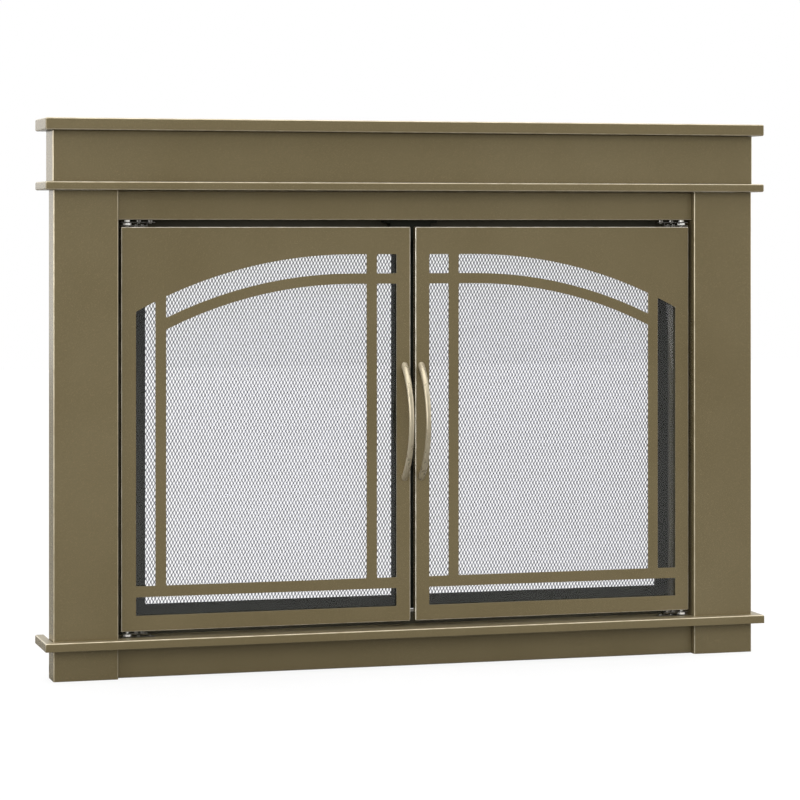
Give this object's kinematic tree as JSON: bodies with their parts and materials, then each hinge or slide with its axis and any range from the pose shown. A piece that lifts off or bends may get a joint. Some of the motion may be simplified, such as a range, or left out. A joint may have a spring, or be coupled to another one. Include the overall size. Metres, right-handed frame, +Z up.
{
  "type": "fireplace glass door",
  "caption": "Mantel-shaped steel fireplace surround with hinged arched window-pane glass doors and hinged mesh gates behind the glass",
  "frame": {"origin": "middle of the strip under the base panel on which the surround stands on the hearth, halfway between the posts", "axes": "+X to the right as seen from the room, -Y toward the room, +Z up"},
  "size_m": [1.1336, 0.1436, 0.829],
  "materials": {
    "bronze_paint": "satin bronze powder coat",
    "black_paint": "matt black high-temperature paint",
    "net_paint": "dark grey painted mesh",
    "zinc_plate": "bright zinc plate",
    "satin_metal": "satin bronze-toned metal",
    "clear_glass": "clear tempered",
    "catch_plastic": "matt black"
  },
  "bodies": {
    "frame": {"top_cap": "bronze_paint", "frieze_panel": "bronze_paint", "mid_moulding": "bronze_paint", "header_rail": "bronze_paint", "left_post": "bronze_paint", "right_post": "bronze_paint", "bottom_ledge": "bronze_paint", "base_panel": "bronze_paint", "rear_left_jamb": "black_paint", "rear_right_jamb": "black_paint", "rear_top_rail": "black_paint", "rear_bottom_rail": "black_paint", "magnet_catch": "catch_plastic", "left_lintel_clamp": "zinc_plate", "left_floor_bracket": "zinc_plate", "right_lintel_clamp": "zinc_plate", "right_floor_bracket": "zinc_plate", "left_top_frame_leaf": "zinc_plate", "left_top_pivot_bolt": "zinc_plate", "left_bottom_frame_leaf": "zinc_plate", "left_bottom_pivot_bolt": "zinc_plate", "right_top_frame_leaf": "zinc_plate", "right_top_pivot_bolt": "zinc_plate", "right_bottom_frame_leaf": "zinc_plate", "right_bottom_pivot_bolt": "zinc_plate", "left_gate_top_bracket": "black_paint", "left_gate_bottom_bracket": "black_paint", "right_gate_top_bracket": "black_paint", "right_gate_bottom_bracket": "black_paint"},
    "left_door": {"left_door_frame": "bronze_paint", "left_door_glass": "clear_glass", "left_strike_plate": "zinc_plate", "left_handle": "satin_metal", "left_top_door_leaf": "zinc_plate", "left_bottom_door_leaf": "zinc_plate", "left_handle_lower_screw": "zinc_plate", "left_handle_upper_screw": "zinc_plate", "left_lower_outer_glass_clip": "zinc_plate", "left_lower_inner_glass_clip": "zinc_plate", "left_upper_outer_glass_clip": "zinc_plate", "left_upper_inner_glass_clip": "zinc_plate"},
    "right_door": {"right_door_frame": "bronze_paint", "right_door_glass": "clear_glass", "right_strike_plate": "zinc_plate", "right_handle": "satin_metal", "right_top_door_leaf": "zinc_plate", "right_bottom_door_leaf": "zinc_plate", "right_handle_lower_screw": "zinc_plate", "right_handle_upper_screw": "zinc_plate", "right_lower_outer_glass_clip": "zinc_plate", "right_lower_inner_glass_clip": "zinc_plate", "right_upper_outer_glass_clip": "zinc_plate", "right_upper_inner_glass_clip": "zinc_plate"},
    "left_gate": {"left_gate_frame": "black_paint", "left_gate_mesh": "net_paint", "left_gate_knob": "black_paint"},
    "right_gate": {"right_gate_frame": "black_paint", "right_gate_mesh": "net_paint", "right_gate_knob": "black_paint"}
  },
  "joints": [
    {"name": "left_door_hinge", "type": "hinge", "parent": "frame", "child": "left_door", "pos_m": [-0.4401, -0.0138, 0.3684], "axis": [0, 0, -1], "range_deg": [0, 110]},
    {"name": "right_door_hinge", "type": "hinge", "parent": "frame", "child": "right_door", "pos_m": [0.4401, -0.0138, 0.3684], "axis": [0, 0, 1], "range_deg": [0, 110]},
    {"name": "left_gate_hinge", "type": "hinge", "parent": "frame", "child": "left_gate", "pos_m": [-0.424, 0.0215, 0.3685], "axis": [0, 0, 1], "range_deg": [0, 90]},
    {"name": "right_gate_hinge", "type": "hinge", "parent": "frame", "child": "right_gate", "pos_m": [0.424, 0.0215, 0.3685], "axis": [0, 0, -1], "range_deg": [0, 90]}
  ]
}
